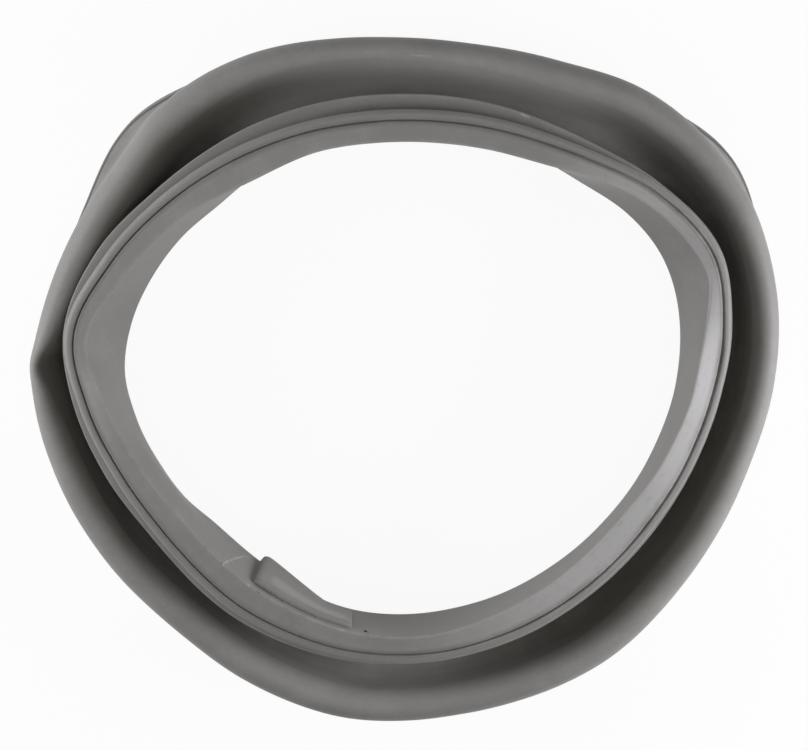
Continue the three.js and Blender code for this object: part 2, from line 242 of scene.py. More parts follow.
# Single marks, some of them painted shade and painted highlight: a line's start and end in mm, its half
# width in mm, its colour and its strength
MARKS = [
    # Scar across the throat, with a dark dot at its start
    (Vector((-103.8, -96.6, 79.9)), Vector((-101.2, -96.4, 73)), 0.8, PALE, 0.9),
    (Vector((-100.4, -97.2, 71)), Vector((-97.8, -97.3, 64)), 0.6, PALE, 0.7),
    (Vector((-97.5, -98.0, 63)), Vector((-92.9, -99.6, 52)), 0.8, PALE, 0.8),
    (Vector((-92.0, -100.6, 51)), Vector((-90.6, -102.2, 49)), 0.6, PALE, 0.6),
    (Vector((-104.8, -95.8, 80)), Vector((-104.2, -96.4, 80)), 0.35, BLACK, 0.8),
    # Pale and dark specks in the crease at the lug's deep end
    (Vector((-89.8, -108.4, 79.9)), Vector((-88.9, -109.4, 79.9)), 0.45, PALE, 1),
    (Vector((-84.8, -112.6, 79.7)), Vector((-83.2, -113.7, 79.7)), 0.4, BLACK, 0.8),
    # Painted highlight on the lug's top
    (Vector((-70, -110, 66)), Vector((-38, -128, 66)), 9, PALE, 0.3),
    # Painted shade in the corner between the lug and the throat, along the foot of the lug's front
    (Vector((-86.0, -109.9, 75)), Vector((-70.5, -120.4, 75)), 1.4, BLACK, 0.5),
    (Vector((-70.5, -120.4, 75)), Vector((-51.9, -129.7, 75)), 1.1, BLACK, 0.4),
    (Vector((-51.9, -129.7, 75)), Vector((-32.2, -136.4, 75)), 0.8, BLACK, 0.3),
    # Pale speck at the lug's low end
    (Vector((-36.2, -135.5, 79.9)), Vector((-35.2, -136.0, 79.9)), 0.5, PALE, 1),
    # Dark smear over the pinhole, partly painted shade of the hole
    (Vector((-22.6, -137.9, 73.6)), Vector((-20.6, -138.2, 76.6)), 1.1, BLACK, 0.8),
    # Pale line on the crease beside the pinhole, partly wear and partly painted highlight
    (Vector((-21.0, -138.4, 78.6)), Vector((-13.5, -139.6, 79.4)), 0.4, PALE, 0.6),
    # Scuffs at the top
    (Vector((65.4, 160.6, 67.8)), Vector((69.0, 159.0, 67.8)), 0.6, PALE, 0.7),
    (Vector((-30.8, 189.6, 57.9)), Vector((-23.4, 190.6, 57.9)), 0.4, PALE, 0.3),
    (Vector((14.4, 191.8, 57.3)), Vector((4.5, 192.2, 57.6)), 0.4, PALE, 0.35),
    (Vector((36.8, 177.1, 51.1)), Vector((41.5, 175.6, 51.0)), 0.4, PALE, 0.3),
    # Brown spots at the right
    (Vector((162.8, -48.7, 67.1)), Vector((162.4, -50.2, 67.1)), 0.8, BROWN, 0.7),
    (Vector((138.4, -49.1, 80.1)), Vector((138.0, -50.0, 80.1)), 0.5, BROWN, 0.6),
]

# Studio
FLOOR_SIZE = 12
FLOOR_GLOW = 0.93
LEFT_LAMP_PLACE = Vector((-0.85, 0.05, 0.36))
RIGHT_LAMP_PLACE = Vector((0.84, -0.12, 0.36))
BACK_LAMP_PLACE = Vector((-0.68, 0.5, 0.4))
FILL_LAMP_PLACE = Vector((0, 0, 1.6))
SIDE_LAMP_SIZE = 0.5
FILL_LAMP_SIZE = 0.8
COOL = (0.95, 0.94, 1.0)
WARM = (1.0, 0.96, 0.88)

# Camera: where it looks and how it stands to that
CAMERA_TARGET = Vector((-0.11, 7.95, 50)) * MM
CAMERA_DISTANCE = 1.5
CAMERA_TILT = math.radians(13)
CAMERA_FOCAL_LENGTH = 116.2


class SealSizes(bpy.types.PropertyGroup):
    """Main sizes of the seal as moulded."""

    lip_radius: FloatProperty(
        name="Lip radius", description="From the axis to the tip of the bead lip",
        default=171.4 * MM, min=0.1, unit="LENGTH",
    )
    face_width: FloatProperty(
        name="Face width", description="From the tip of the bead lip in to the crease",
        default=16.6 * MM, min=0.01, unit="LENGTH",
    )
    throat_depth: FloatProperty(
        name="Throat depth", description="From the crease back to the throat's rear edge",
        default=37 * MM, min=0.02, unit="LENGTH",
    )
    bead_bend: FloatProperty(
        name="Bead bend", description="Radius of the bead lip",
        default=3.2 * MM, min=0.001, unit="LENGTH",
    )
    wall_thickness: FloatProperty(
        name="Wall thickness", description="Thickness of the bellows wall",
        default=2.6 * MM, min=0.001, unit="LENGTH",
    )
    roll_height: FloatProperty(
        name="Roll height", description="From the tub ring's rear face to the top of the roll",
        default=61 * MM, min=0.03, unit="LENGTH",
    )
    roll_bend: FloatProperty(
        name="Roll bend", description="Outer radius of the roll's bend",
        default=10 * MM, min=0.005, unit="LENGTH",
    )
    channel_depth: FloatProperty(
        name="Channel depth", description="From the top of the roll down to the channel's floor",
        default=37 * MM, min=0.005, unit="LENGTH",
    )
    tub_ring_width: FloatProperty(
        name="Tub ring width", description="Radial width of the rear ring",
        default=13 * MM, min=0.01, unit="LENGTH",
    )
    tub_ring_height: FloatProperty(
        name="Tub ring height", description="Height of the rear ring",
        default=16 * MM, min=0.01, unit="LENGTH",
    )
    columns: IntProperty(
        name="Columns", description="How many sections stand evenly round the seal",
        default=360, min=72, max=480,
    )


class RubberFinish(bpy.types.PropertyGroup):
    """Colours and grain of the moulded rubber, and the colours that paint its highlights and shade."""

    base: FloatVectorProperty(
        name="Rubber", description="Colour of the clean rubber",
        default=(0.206, 0.202, 0.186), min=0, max=1, subtype="COLOR",
    )
    # Colour of bloomed rubber, also used for the painted highlight on the rims.
    bloom_and_highlight: FloatVectorProperty(
        name="Bloom", description="Colour where the rubber has been rubbed or has bloomed",
        default=(0.31, 0.306, 0.29), min=0, max=1, subtype="COLOR",
    )
    # Colour of the painted highlight on the face.
    face_highlight: FloatVectorProperty(
        name="Polished", description="Colour where the door has rubbed the face",
        default=(0.36, 0.356, 0.345), min=0, max=1, subtype="COLOR",
    )
    # Colour of the brown soiling in the folds, also used for their painted shade.
    grime_and_shade: FloatVectorProperty(
        name="Grime", description="Colour of what has settled in the channel",
        default=(0.085, 0.079, 0.066), min=0, max=1, subtype="COLOR",
    )
    roughness: FloatProperty(
        name="Roughness", description="Roughness of the clean rubber",
        default=0.52, min=0, max=1, subtype="FACTOR",
    )
    grain_size: FloatProperty(
        name="Grain size", description="Size of the moulded grain",
        default=0.6 * MM, min=0.0001, unit="LENGTH",
    )


class StudioSetup(bpy.types.PropertyGroup):
    """Light levels and floor colour of the studio."""

    floor: FloatVectorProperty(
        name="Floor", description="Colour of the floor",
        default=(0.88, 0.88, 0.88), min=0, max=1, subtype="COLOR",
    )
    left_power: FloatProperty(
        name="Left lamp", description="Power of the soft lamp on the left",
        default=5.2, min=0, unit="POWER",
    )
    right_power: FloatProperty(
        name="Right lamp", description="Power of the soft lamp on the right",
        default=8.6, min=0, unit="POWER",
    )
    back_power: FloatProperty(
        name="Back lamp", description="Power of the soft lamp beyond the seal, on the left",
        default=2, min=0, unit="POWER",
    )
    fill_power: FloatProperty(
        name="Fill lamp", description="Power of the soft lamp above",
        default=3.2, min=0, unit="POWER",
    )
    ambient: FloatProperty(
        name="Ambient", description="Strength of the light from all round",
        default=0.14, min=0, max=2,
    )


class Settling:
    """A settling list, read as a smooth closed curve through its rows."""

    def __init__(self, rows):
        overlap = 3
        before = [(row[0] - FULL_TURN, *row[1:]) for row in rows[-overlap:]]
        after = [(row[0] + FULL_TURN, *row[1:]) for row in rows[:overlap]]
        self.rows = before + rows + after

    def at(self, angle):
        """Values at an angle, on a cubic whose slope at each row is the mean of those on its two sides."""
        rows = self.rows
        i = next(k for k, row in enumerate(rows) if row[0] > angle)
        previous, start, end, following = rows[i - 2:i + 2]
        span = end[0] - start[0]
        t = (angle - start[0]) / span
        values = []
        for k in range(1, len(start)):
            change = end[k] - start[k]
            slope_in = (change + (start[k] - previous[k]) * span / (start[0] - previous[0])) / 2
            slope_out = (change + (following[k] - end[k]) * span / (following[0] - end[0])) / 2
            bend_in = t * (1 - t) ** 2 * slope_in
            bend_out = t * t * (t - 1) * slope_out
            values.append(start[k] + change * t * t * (3 - 2 * t) + bend_in + bend_out)
        return values


TUB_SETTLED = Settling(TUB_SETTLING)
ROLL_SETTLED = Settling(ROLL_SETTLING)
CHANNEL_SETTLED = Settling(CHANNEL_SETTLING)
LIP_SETTLED = Settling(LIP_SETTLING)
CREASE_SETTLED = Settling(CREASE_SETTLING)
GROOVE_SETTLED = Settling(GROOVE_SETTLING)
THROAT_SETTLED = Settling(THROAT_SETTLING)
PALENESS = Settling(FACE_PALENESS)


def mix(a, b, share):
    return a + (b - a) * share


def ellipse(centre, width, height, start, end, steps):
    """Points on an elliptical arc in the section, from one angle to another in radians."""
    turns = [mix(start, end, step / steps) for step in range(steps + 1)]
    return [centre + Vector((width * math.cos(turn), height * math.sin(turn))) for turn in turns]


def curve(start, first_handle, second_handle, end, steps):
    """Points on a cubic curve between two points, each with its handle."""
    points = []
    for step in range(steps + 1):
        t = step / steps
        leaving = start.lerp(first_handle, t)
        across = first_handle.lerp(second_handle, t)
        arriving = second_handle.lerp(end, t)
        points.append(leaving.lerp(across, t).lerp(across.lerp(arriving, t), t))
    return points


def beside(path, distance):
    """The line beside a path, to its left, or to its right where the distance is negative."""
    line = []
    for i, point in enumerate(path):
        along = (path[min(i + 1, len(path) - 1)] - path[max(i - 1, 0)]).normalized()
        line.append(point + Vector((-along.y, along.x)) * distance)
    return line


def eased(corners):
    """Rounds the corners of a closed outline. Each corner is a point, how far back its rounding
    starts, and the name of its zone, and each point that comes back has its zone's name."""
    points = []
    for i, (corner, reach, zone) in enumerate(corners):
        if not reach:
            points.append((corner, zone))
            continue
        start = corner + (corners[i - 1][0] - corner).normalized() * reach
        end = corner + (corners[(i + 1) % len(corners)][0] - corner).normalized() * reach
        for step in range(EASE_STEPS + 1):
            t = step / EASE_STEPS
            points.append((start.lerp(corner, t).lerp(corner.lerp(end, t), t), zone))
    return points


class Section:
    """The seal's section at an angle in degrees, as distances from the axis and heights."""

    def __init__(self, sizes, angle):
        self.sizes = sizes
        self.angle = angle
        tub_shift, = TUB_SETTLED.at(angle)
        roll_shift, roll_lift, bend_change = ROLL_SETTLED.at(angle)
        self.depth_kept, lean = CHANNEL_SETTLED.at(angle)
        self.lean = math.radians(lean)
        lip_shift, lip_lift, reach_change = LIP_SETTLED.at(angle)
        crease_shift, crease_lift = CREASE_SETTLED.at(angle)
        groove_shift, groove_widening = GROOVE_SETTLED.at(angle)
        throat_shift, bulge = THROAT_SETTLED.at(angle)

        roll_radius = sizes.lip_radius + ROLL_OVERHANG
        lip_height = sizes.roll_height + LIP_STANDOFF
        crease_radius = sizes.lip_radius - sizes.face_width
        crease_height = lip_height + CREASE_RISE
        self.tub_radius = roll_radius - TUB_RING_INSET + tub_shift * MM
        self.bend = sizes.roll_bend + bend_change * MM
        self.crest = sizes.roll_height + roll_lift * MM
        self.roll_centre = Vector((roll_radius + roll_shift * MM - self.bend, self.crest - self.bend))
        self.lip = Vector((sizes.lip_radius + lip_shift * MM, lip_height + lip_lift * MM))
        self.reach = REAR_LIP_REACH + reach_change * MM
        self.crease = Vector((crease_radius + crease_shift * MM, crease_height + crease_lift * MM))
        self.edge = Vector((
            crease_radius - THROAT_TAPER + throat_shift * MM,
            crease_height - sizes.throat_depth,
        ))
        self.bulge = bulge * MM
        self.groove_inset = FINE_GROOVE_INSET + groove_shift * MM
        self.groove_width = FINE_GROOVE_WIDTH + groove_widening * MM

    def bellows_line(self):
        """Middle line of the bellows wall, from the top of the tub ring to the middle of the neck."""
        sizes = self.sizes
        half = sizes.wall_thickness / 2
        bend = self.bend - half
        roll = ellipse(self.roll_centre, bend, bend, 0, math.pi - self.lean, ROLL_STEPS)
        foot = Vector((self.tub_radius - SHOULDER_WIDTH - half, sizes.tub_ring_height))
        ease = Vector((0, OUTER_WALL_EASE * (roll[0].y - foot.y)))
        outer_wall = curve(foot, foot + ease, roll[0] - ease, roll[0], OUTER_WALL_STEPS)

        depth = sizes.channel_depth * self.depth_kept
        floor = self.crest - depth - half
        mouth = roll[-1]
        neck_radius = self.lip.x - NECK_INSET - half
        gap = mouth.x - CHANNEL_TAPER * self.depth_kept - neck_radius
        round_width = min(gap / 2, CHANNEL_ROUND_WIDTH)
        round_height = CHANNEL_ROUNDNESS * depth
        bottom = Vector((neck_radius + round_width, floor))
        down = Vector((-math.sin(self.lean), -math.cos(self.lean)))
        wall_handle = mouth + down * CHANNEL_WALL_REACH * (mouth.y - floor)
        floor_handle = bottom + Vector((CHANNEL_FLOOR_REACH * (mouth.x - bottom.x), 0))
        channel_wall = curve(mouth, wall_handle, floor_handle, bottom, CHANNEL_WALL_STEPS)
        centre = bottom + Vector((0, round_height))
        channel = ellipse(centre, round_width, round_height, -math.pi / 2, -math.pi, CHANNEL_STEPS)

        lip_root = self.lip.y - REAR_LIP_DROP - REAR_LIP_FILLET
        neck_middle = Vector((neck_radius, (channel[-1].y + lip_root) / 2))
        zones = [
            ("outer_wall", outer_wall[:-1]),
            ("roll", roll[:-1]),
            ("channel_wall", channel_wall[:-1]),
            ("channel", channel),
            ("neck", [neck_middle]),
        ]
        points = [point for _, stretch in zones for point in stretch]
        names = [name for name, stretch in zones for _ in stretch]
        return points, names

    def front_ring(self):
        """Corners of the front ring, from the neck to the crease."""
        bend = self.sizes.bead_bend
        lip_top = -REAR_LIP_DROP + REAR_LIP_THICKNESS / 2
        lip_bottom = -REAR_LIP_DROP - REAR_LIP_THICKNESS / 2
        bead = ellipse(self.lip - Vector((bend, 0)), bend, bend, -BEAD_TURN, BEAD_TURN, BEAD_STEPS)
        groove_middle = -self.groove_inset - self.groove_width / 2
        groove_end = self.lip + Vector((-self.groove_inset - self.groove_width, bend + FACE_STEP))

        def at(outwards, upwards):
            return self.lip + Vector((outwards, upwards))

        corners = [
            (at(-NECK_INSET, -REAR_LIP_DROP - REAR_LIP_FILLET), 1.2 * MM, "neck"),
            (at(self.reach, lip_bottom), 0.9 * MM, "rear_lip"),
            (at(self.reach, lip_top), 0.9 * MM, "rear_lip"),
            (at(-PANEL_GROOVE_DEPTH, lip_top), 0.7 * MM, "panel_groove"),
            (at(-PANEL_GROOVE_DEPTH, lip_top + PANEL_GROOVE_WIDTH), 0.7 * MM, "panel_groove"),
        ]
        corners += [(point, 0, "bead") for point in bead]
        corners += [
            (at(-self.groove_inset, bend), 0.35 * MM, "fine_groove"),
            (at(groove_middle, bend - FINE_GROOVE_DEPTH), 0.3 * MM, "fine_groove"),
            (groove_end, 0.4 * MM, "fine_groove"),
        ]
        for step in range(1, FACE_STEPS):
            corners.append((groove_end.lerp(self.crease, step / FACE_STEPS), 0, "face"))
        corners.append((self.crease, 0.9 * MM, "crease"))
        return corners

    def throat_point(self, drop, rise):
        """Point on the throat's inner face at a drop below the crease, moved inwards by a rise."""
        share = drop / (self.crease.y - self.edge.y)
        tent = math.hypot(1, RIDGE_SOFTNESS) - math.hypot(2 * share - 1, RIDGE_SOFTNESS)
        bulge = self.bulge * tent / (math.hypot(1, RIDGE_SOFTNESS) - RIDGE_SOFTNESS)
        radius = mix(self.crease.x, self.edge.x, share) - bulge - rise
        return Vector((radius, self.crease.y - drop))

    def lug_fullness(self):
        """Share of its height that the lug has here: none outside it, steep at its ends, rounded on top."""
        to_end = min(self.angle - LUG_START, LUG_END - self.angle)
        distance = math.radians(to_end) * self.edge.x
        if distance <= -LUG_END_WALL:
            return 0
        if distance < 0:
            return LUG_END_FULLNESS * (1 + distance / LUG_END_WALL)
        before_full = max(1 - distance / LUG_END_ROUNDING, 0)
        return mix(LUG_END_FULLNESS, 1, math.sqrt(1 - before_full ** 2))

    def throat_face(self):
        """Corners down the throat's inner face, over the lug where there is one, and round its rear edge."""
        full = self.lug_fullness()
        along = (self.angle - LUG_START) / (LUG_END - LUG_START)
        depth = self.crease.y - self.edge.y
        front_rise = full * mix(LUG_FRONT_RISE, LUG_END_RISE, along)
        rear_rise = full * LUG_REAR_RISE * max(1 - (along / LUG_FLUSH_SHARE) ** 2, 0)
        rounding = min(LUG_ROUNDING, LUG_ROUNDING_SHARE * front_rise)
        spread = mix(FLAT_SPREAD, rounding, full)

        places = [(LUG_FRONT_DROP * share, 0) for share in LUG_LEAD_SHARES]
        for step in range(1, LUG_FRONT_STEPS + 1):
            share = step / LUG_FRONT_STEPS
            turn = max(share - LUG_FACE_SHARE, 0) / (1 - LUG_FACE_SHARE) * math.pi / 2
            upright = min(share / LUG_FACE_SHARE, 1) * (front_rise - rounding)
            over = LUG_FRONT_DROP + rounding * (1 - math.cos(turn))
            flat = LUG_FRONT_DROP + spread * share
            places.append((mix(flat, over, full), upright + rounding * math.sin(turn)))
        top_start, top_rise = places[-1]
        for step in range(1, LUG_TOP_STEPS):
            share = step / LUG_TOP_STEPS
            places.append((mix(top_start, depth, share), mix(top_rise, rear_rise, share)))

        corners = [(self.throat_point(drop, rise), 0, "throat") for drop, rise in places]
        corners.append((self.throat_point(depth, rear_rise), 0.9 * MM, "throat_edge"))
        corners.append((self.throat_point(depth, -THROAT_THICKNESS), 0.7 * MM, "throat_edge"))
        return corners

    def throat_back(self):
        """Corners up the throat's outer side to the junction, and the way into the neck."""
        depth = self.crease.y - self.edge.y
        top = self.crease.y - self.lip.y + JUNCTION_DROP
        drops = [mix(depth, top, step / THROAT_BACK_STEPS) for step in range(1, THROAT_BACK_STEPS)]
        corners = [(self.throat_point(drop, -THROAT_THICKNESS), 0, "inside") for drop in drops]
        junction = self.throat_point(top, -THROAT_THICKNESS)
        neck = self.lip.x - NECK_INSET - self.sizes.wall_thickness
        junction.x = (junction.x + neck) / 2
        corners.append((junction, 1 * MM, "inside"))
        return corners

    def tub_ring_outside(self):
        """Corners up the outside of the tub ring, with its clamp groove."""
        outside = self.tub_radius
        height = self.sizes.tub_ring_height
        bottom = (height - CLAMP_GROOVE_WIDTH) / 2
        top = bottom + CLAMP_GROOVE_WIDTH
        face = outside - CLAMP_GROOVE_DEPTH
        return [
            (Vector((outside, 0)), 1 * MM, "tub_ring"),
            (Vector((outside, bottom)), 0.4 * MM, "tub_ring"),
            (Vector((face, bottom + CLAMP_GROOVE_BEVEL)), 0.5 * MM, "clamp_groove"),
            (Vector((face, top - CLAMP_GROOVE_BEVEL)), 0.5 * MM, "clamp_groove"),
            (Vector((outside, top)), 0.4 * MM, "tub_ring"),
            (Vector((outside, height)), 0.7 * MM, "tub_ring"),
        ]

    def tub_ring_inside(self):
        """Corners down the inside of the tub ring and round its rim slot."""
        inside = self.tub_radius - self.sizes.tub_ring_width
        slot_outside = self.tub_radius - RIM_SLOT_INSET
        slot_inside = slot_outside - RIM_SLOT_WIDTH
        return [
            (Vector((inside, self.sizes.tub_ring_height)), 0.8 * MM, "tub_ring"),
            (Vector((inside, 0)), 0.9 * MM, "tub_ring"),
            (Vector((slot_inside, 0)), 0.4 * MM, "tub_ring"),
            (Vector((slot_inside, RIM_SLOT_DEPTH)), 0.7 * MM, "rim_slot"),
            (Vector((slot_outside, RIM_SLOT_DEPTH)), 0.7 * MM, "rim_slot"),
            (Vector((slot_outside, 0)), 0.4 * MM, "tub_ring"),
        ]

    def outline(self):
        """Points of the whole outline, anticlockwise with the axis on the left, with their zones' names."""
        half = self.sizes.wall_thickness / 2
        middle_line, names = self.bellows_line()
        outer = [(point, 0, name) for point, name in zip(beside(middle_line, -half), names)]
        inner = [(point, 0, "inside") for point in beside(middle_line, half)]
        inner = inner[:1] + inner[2:-1:INNER_FACE_STRIDE] + inner[-1:]
        return eased([
            *self.tub_ring_outside(),
            *outer,
            *self.front_ring(),
            *self.throat_face(),
            *self.throat_back(),
            *reversed(inner),
            *self.tub_ring_inside(),
        ])


def column_angles(sizes):
    """Angles of the sections: even ones all round, and close ones at the lug's ends and the pinhole."""
    angles = {FULL_TURN * step / sizes.columns for step in range(sizes.columns)}
    per_length = math.degrees(1 / (sizes.lip_radius - sizes.face_width - THROAT_TAPER))
    for distance in LUG_END_COLUMNS:
        angles.add(LUG_START + distance * per_length)
        angles.add(LUG_END - distance * per_length)
    for step in range(-2, 3):
        angles.add(PINHOLE_ANGLE + step * PINHOLE_GRID * per_length)
    return sorted(angles)


def new_piece(name, bm, body="root"):
    """An object at the origin from a bmesh, which rides on a body."""
    mesh = bpy.data.meshes.new(name)
    bm.to_mesh(mesh)
    bm.free()
    piece = bpy.data.objects.new(name, mesh)
    bpy.context.scene.collection.objects.link(piece)
    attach(piece, body)
    return piece


def spun_seal(sizes, angles, outlines):
    """The seal's skin: its first outline, spun all the way round and settled column by column."""
    bm = bmesh.new()
    station = bm.verts.layers.int.new("station")
    ring = []
    for i, (point, _) in enumerate(outlines[0]):
        vertex = bm.verts.new((point.x, 0, point.y))
        vertex[station] = i
        ring.append(vertex)
    edges = [bm.edges.new((ring[i], ring[(i + 1) % len(ring)])) for i in range(len(ring))]
    bmesh.ops.spin(
        bm, geom=ring + edges, cent=(0, 0, 0), axis=(0, 0, 1), angle=math.tau,
        steps=len(angles), use_merge=True,
    )
    step = math.tau / len(angles)
    for vertex in bm.verts:
        column = round(math.atan2(vertex.co.y, vertex.co.x) / step) % len(angles)
        point, _ = outlines[column][vertex[station]]
        turn = math.radians(angles[column])
        vertex.co = (point.x * math.cos(turn), point.x * math.sin(turn), point.y)
    bmesh.ops.recalc_face_normals(bm, faces=bm.faces)
    return bm


def add_finish_and_painted_light_layers(bm, sizes, outlines):
    """Notes on each point how pale its rim is from wear and painted highlight, how much painted highlight
    lies on its face, how dark it is from soiling and painted shade, and where it lies along and across the
    seal.
    """
    station = bm.verts.layers.int["station"]
    rubbed_and_highlit = bm.verts.layers.float.new("rubbed_and_highlit")
    grimy_and_shaded = bm.verts.layers.float.new("grimy_and_shaded")
    pale = bm.verts.layers.float.new("pale")
    flow = bm.verts.layers.float_vector.new("flow")
    outline = outlines[0]
    paths = [0]
    for (start, _), (end, _) in zip(outline, outline[1:]):
        paths.append(paths[-1] + (end - start).length)
    for vertex in bm.verts:
        zone = outline[vertex[station]][1]
        # Pale rims from wear and painted highlight, and darkening from soiling and painted shade, zone by
        # zone
        vertex[rubbed_and_highlit], vertex[grimy_and_shaded] = ZONE_WEAR_GRIME_AND_PAINTED_LIGHT[zone]
        # In the deep zones the soiling and painted shade grow with the depth below the roll
        if zone in DEEP_ZONES:
            depth = (sizes.roll_height - vertex.co.z) / sizes.channel_depth
            vertex[grimy_and_shaded] *= min(max(depth, 0), 1)
        # Painted highlight on the face, strongest on the right
        if zone in FACE_ZONES:
            paleness, = PALENESS.at(math.degrees(math.atan2(vertex.co.y, vertex.co.x)) % FULL_TURN)
            vertex[pale] = min(max(paleness, 0), 1)
        around = Vector((vertex.co.x, vertex.co.y, 0)).normalized() * FLOW_RADIUS
        vertex[flow] = (around.x, around.y, paths[vertex[station]])


def cut_pinhole(bm, sizes, angles, outlines):
    """Sinks the pinhole into the throat's face, from the four faces round its middle."""
    station = bm.verts.layers.int["station"]
    column = min(range(len(angles)), key=lambda i: abs(angles[i] - PINHOLE_ANGLE))
    section = Section(sizes, angles[column])
    height = section.crease.y - PINHOLE_DROP
    throat = [i for i, (_, zone) in enumerate(outlines[column]) if zone == "throat"]
    row = min(throat, key=lambda i: abs(outlines[column][i][0].y - height))
    point, _ = outlines[column][row]
    turn = math.radians(angles[column])
    place = Vector((point.x * math.cos(turn), point.x * math.sin(turn), point.y))
    middle = min((v for v in bm.verts if v[station] == row), key=lambda v: (v.co - place).length)
    centre = middle.co.copy()
    inwards = -middle.normal
    faces = list(middle.link_faces)
    for vertex in {v for face in faces for v in face.verts} - {middle}:
        out = vertex.co - centre
        out -= inwards * out.dot(inwards)
        vertex.co = centre + out.normalized() * PINHOLE_RADIUS
    made = bmesh.ops.extrude_face_region(bm, geom=faces)
    bmesh.ops.delete(bm, geom=faces, context="FACES")
    floor = [item for item in made["geom"] if isinstance(item, bmesh.types.BMVert)]
    bmesh.ops.translate(bm, verts=floor, vec=inwards * PINHOLE_DEPTH)


def make_uneven(bm, sizes):
    """Shifts the soft rubber by a slow wave, so that light runs over it unevenly."""
    for vertex in bm.verts:
        above_ring = (vertex.co.z - sizes.tub_ring_height) / (WAVE_FULL_HEIGHT - sizes.tub_ring_height)
        share = min(max(above_ring, 0), 1)
        wave = Vector([noise.noise(vertex.co / WAVE_LENGTH + place) for place in WAVE_PLACES])
        vertex.co += wave * WAVE_HEIGHT * share


def centre_on_cad(bm):
    """Moves the seal so that its outline's box has the middle that the CAD part's has."""
    low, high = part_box(NODE)
    xs = [vertex.co.x for vertex in bm.verts]
    ys = [vertex.co.y for vertex in bm.verts]
    middle = Vector(((min(xs) + max(xs)) / 2, (min(ys) + max(ys)) / 2, 0))
    shift = (low + high) / 2 - middle
    shift.z = 0
    bmesh.ops.translate(bm, verts=bm.verts, vec=shift)


class Value:
    """A shader socket that takes part in sums like a number."""

    def __init__(self, graph, socket):
        self.graph = graph
        self.socket = socket

    def maths(self, operation, *others):
        return self.graph.node("Math", dict(enumerate((self, *others))), operation=operation)

    def __add__(self, other):
        return self.maths("ADD", other)

    def __radd__(self, other):
        return self.maths("ADD", other)

    def __mul__(self, other):
        return self.maths("MULTIPLY", other)

    def __rmul__(self, other):
        return self.maths("MULTIPLY", other)

    def __truediv__(self, other):
        return self.maths("DIVIDE", other)

    def most(self, other):
        return self.maths("MAXIMUM", other)

    def least(self, other):
        return self.maths("MINIMUM", other)


class Graph:
    """The nodes of one material."""

    def __init__(self, name):
        self.material = bpy.data.materials.new(name)
        self.material.use_nodes = True
        self.tree = self.material.node_tree
        self.tree.nodes.clear()

    def node(self, kind, inputs, output=0, **settings):
        """Adds a node with its inputs and settings, and gives one of its outputs."""
        node = self.tree.nodes.new("ShaderNode" + kind)
        for name, value in settings.items():
            setattr(node, name, value)
        for key, value in inputs.items():
            if isinstance(value, Value):
                self.tree.links.new(value.socket, node.inputs[key])
            else:
                node.inputs[key].default_value = value
        return Value(self, node.outputs[output])

    def attribute(self, name, output="Fac"):
        return self.node("Attribute", {}, output, attribute_name=name)

    def smooth(self, value, start, end):
        """Rises softly from 0 at the start to 1 at the end."""
        inputs = {"Value": value, "From Min": start, "From Max": end}
        return self.node("MapRange", inputs, interpolation_type="SMOOTHSTEP")

    def vector(self, operation, a, b):
        return self.node("VectorMath", {0: a, 1: b}, operation=operation)

    def noise(self, place, size, detail=2, roughness=0.5):
        """Cloudy noise whose patches are about a size across."""
        inputs = {"Vector": place, "Scale": 1 / size, "Detail": detail, "Roughness": roughness}
        return self.node("TexNoise", inputs)

    def colour(self, a, b, share):
        """Colour between two, which are each a colour or a socket."""
        inputs = {"Factor": share}
        for key, value in ((6, a), (7, b)):
            inputs[key] = value if isinstance(value, Value) else (*value, 1)
        return self.node("Mix", inputs, output=2, data_type="RGBA")

    def distance_to_line(self, place, start, end):
        """Distance from the line between two points."""
        line = end - start
        from_start = self.vector("SUBTRACT", place, start)
        along = self.node("VectorMath", {0: from_start, 1: line}, "Value", operation="DOT_PRODUCT")
        share = (along / line.length_squared).most(0).least(1)
        nearest = self.node("VectorMath", {0: line, "Scale": share}, operation="SCALE")
        return self.node("VectorMath", {0: from_start, 1: nearest}, "Value", operation="DISTANCE")

    def finish(self, shader):
        output = self.tree.nodes.new("ShaderNodeOutputMaterial")
        self.tree.links.new(shader.socket, output.inputs["Surface"])
        return self.material


